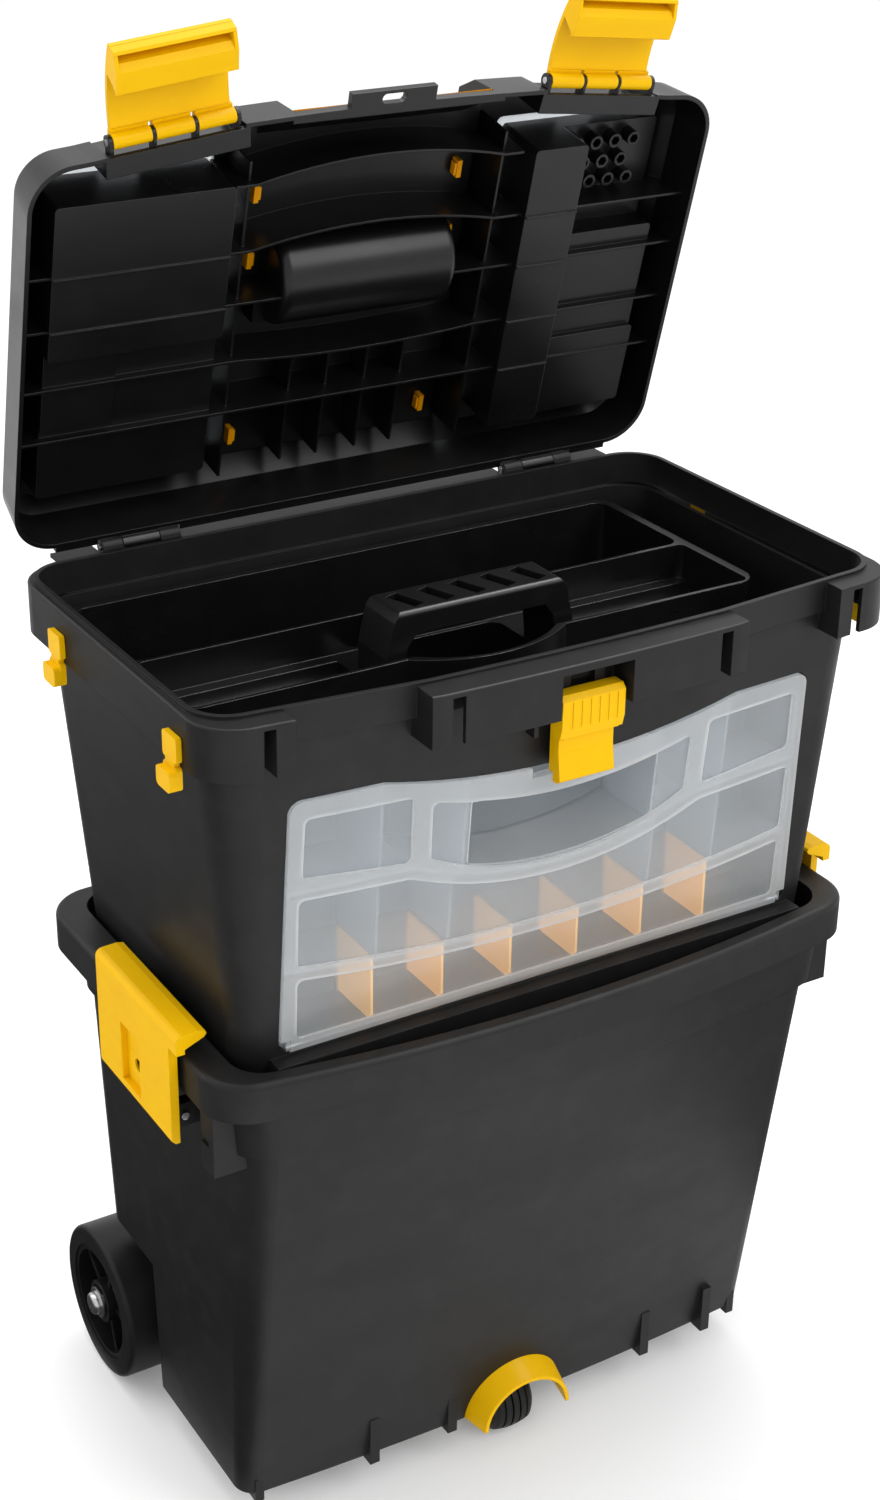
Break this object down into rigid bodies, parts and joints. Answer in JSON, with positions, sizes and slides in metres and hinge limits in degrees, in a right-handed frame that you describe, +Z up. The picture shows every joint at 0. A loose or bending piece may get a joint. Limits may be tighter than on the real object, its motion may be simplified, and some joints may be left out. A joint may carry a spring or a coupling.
{
  "type": "rolling tool box",
  "caption": "Two-unit wheeled tool box: latched upper box with open lid, lift-out tray and front organizer, on a deep lower bin with wheels, swivel caster and pull handle.",
  "frame": {"origin": "on the ground at the plan centre of the upper box rim, wheels touching z = 0, lid open 75 degrees at rest", "axes": "+Z up, +X along the length towards the right-hand wheel seen from the front, -Y towards the front (organizer side)"},
  "size_m": [0.476, 0.3269, 0.9152],
  "materials": {
    "black_plastic": "fine spark-eroded grain",
    "yellow_plastic": "smooth moulded",
    "clear_plastic": "milky translucent",
    "amber_plastic": "smooth moulded",
    "steel": "drawn, bright",
    "tyre_plastic": "fine grain",
    "grip_rubber": "soft touch"
  },
  "bodies": {
    "lower_bin": {"lower_bin": "black_plastic", "rear_axle": "steel", "axle_push_nuts": "steel", "caster_hood": "yellow_plastic", "pull_handle_pins": "steel", "side_latch_pin_left": "steel", "side_latch_pin_right": "steel"},
    "upper_box": {"upper_box": "black_plastic", "strap_hooks_left": "yellow_plastic", "strap_hooks_right": "yellow_plastic", "lid_hinge_pins": "steel"},
    "lid": {"lid": "black_plastic", "centre_panel": "yellow_plastic", "lid_latch_pin_left": "steel", "lid_latch_pin_right": "steel", "carry_handle_pins": "steel", "lid_cover_pin_left": "steel", "lid_cover_pin_right": "steel"},
    "lid_latch_left": {"lid_latch_left": "yellow_plastic"},
    "lid_latch_right": {"lid_latch_right": "yellow_plastic"},
    "carry_handle": {"carry_handle": "black_plastic"},
    "lid_cover_left": {"lid_cover_left": "clear_plastic"},
    "lid_cover_right": {"lid_cover_right": "clear_plastic"},
    "lift_out_tray": {"lift_out_tray": "black_plastic", "tray_handle": "black_plastic"},
    "organizer": {"organizer_tray": "clear_plastic", "organizer_dividers": "amber_plastic", "organizer_pivot_pins": "steel"},
    "organizer_cover": {"organizer_cover": "clear_plastic"},
    "organizer_latch": {"organizer_latch": "yellow_plastic"},
    "side_latch_left": {"side_latch_left": "yellow_plastic"},
    "side_latch_right": {"side_latch_right": "yellow_plastic"},
    "pull_handle": {"pull_handle": "black_plastic", "pull_handle_grip": "grip_rubber"},
    "wheel_left": {"wheel_tyre_left": "tyre_plastic", "wheel_hub_left": "black_plastic"},
    "wheel_right": {"wheel_tyre_right": "tyre_plastic", "wheel_hub_right": "black_plastic"},
    "caster": {"caster_fork": "black_plastic", "caster_stem": "steel", "caster_axle": "steel"},
    "caster_wheel": {"caster_wheel": "tyre_plastic"}
  },
  "joints": [
    {"name": "upper_box_lift", "type": "slide", "parent": "lower_bin", "child": "upper_box", "axis": [0, 0, 1], "range_m": [0, 0.12]},
    {"name": "lid_hinge", "type": "hinge", "parent": "upper_box", "child": "lid", "pos_m": [0, 0.1375, 0.5972], "axis": [-1, 0, 0], "range_deg": [-75, 20]},
    {"name": "lid_latch_left_hinge", "type": "hinge", "parent": "lid", "child": "lid_latch_left", "pos_m": [-0.141, 0.07593, 0.85712], "axis": [-0.9936, 0.0293, -0.1094], "range_deg": [-77, 30]},
    {"name": "lid_latch_right_hinge", "type": "hinge", "parent": "lid", "child": "lid_latch_right", "pos_m": [0.141, 0.07593, 0.85712], "axis": [-0.9936, -0.0293, 0.1094], "range_deg": [-77, 30]},
    {"name": "carry_handle_hinge", "type": "hinge", "parent": "lid", "child": "carry_handle", "pos_m": [0, 0.13875, 0.73471], "axis": [-1, 0, 0], "range_deg": [0, 95]},
    {"name": "lid_cover_left_hinge", "type": "hinge", "parent": "lid", "child": "lid_cover_left", "pos_m": [-0.1535, 0.17391, 0.63439], "axis": [-1, 0, 0], "range_deg": [0, 95]},
    {"name": "lid_cover_right_hinge", "type": "hinge", "parent": "lid", "child": "lid_cover_right", "pos_m": [0.1565, 0.17391, 0.63439], "axis": [-1, 0, 0], "range_deg": [0, 95]},
    {"name": "tray_lift", "type": "slide", "parent": "upper_box", "child": "lift_out_tray", "axis": [0, 0, 1], "range_m": [0, 0.08]},
    {"name": "organizer_slide", "type": "slide", "parent": "upper_box", "child": "organizer", "axis": [0, -1, 0], "range_m": [0, 0.12]},
    {"name": "organizer_cover_hinge", "type": "hinge", "parent": "organizer", "child": "organizer_cover", "pos_m": [0, -0.1068, 0.3764], "axis": [1, 0, 0], "range_deg": [0, 75]},
    {"name": "organizer_latch_slide", "type": "slide", "parent": "upper_box", "child": "organizer_latch", "axis": [0, 0, 1], "range_m": [0, 0.014]},
    {"name": "side_latch_left_hinge", "type": "hinge", "parent": "lower_bin", "child": "side_latch_left", "pos_m": [-0.222, 0, 0.322], "axis": [0, -1, 0], "range_deg": [0, 25]},
    {"name": "side_latch_right_hinge", "type": "hinge", "parent": "lower_bin", "child": "side_latch_right", "pos_m": [0.222, 0, 0.322], "axis": [0, 1, 0], "range_deg": [0, 25]},
    {"name": "wheel_left_spin", "type": "hinge", "parent": "lower_bin", "child": "wheel_left", "pos_m": [-0.1925, 0.113, 0.0541], "axis": [1, 0, 0], "continuous": true},
    {"name": "wheel_right_spin", "type": "hinge", "parent": "lower_bin", "child": "wheel_right", "pos_m": [0.1925, 0.113, 0.0541], "axis": [1, 0, 0], "continuous": true},
    {"name": "caster_swivel", "type": "hinge", "parent": "lower_bin", "child": "caster", "pos_m": [0, -0.068, 0.05], "axis": [0, 0, 1], "continuous": true},
    {"name": "caster_wheel_spin", "type": "hinge", "parent": "caster", "child": "caster_wheel", "pos_m": [0, -0.072, 0.023], "axis": [1, 0, 0], "continuous": true},
    {"name": "pull_handle_fold", "type": "hinge", "parent": "lower_bin", "child": "pull_handle", "pos_m": [0, 0.1415, 0.325], "axis": [1, 0, 0], "range_deg": [0, 150]}
  ]
}
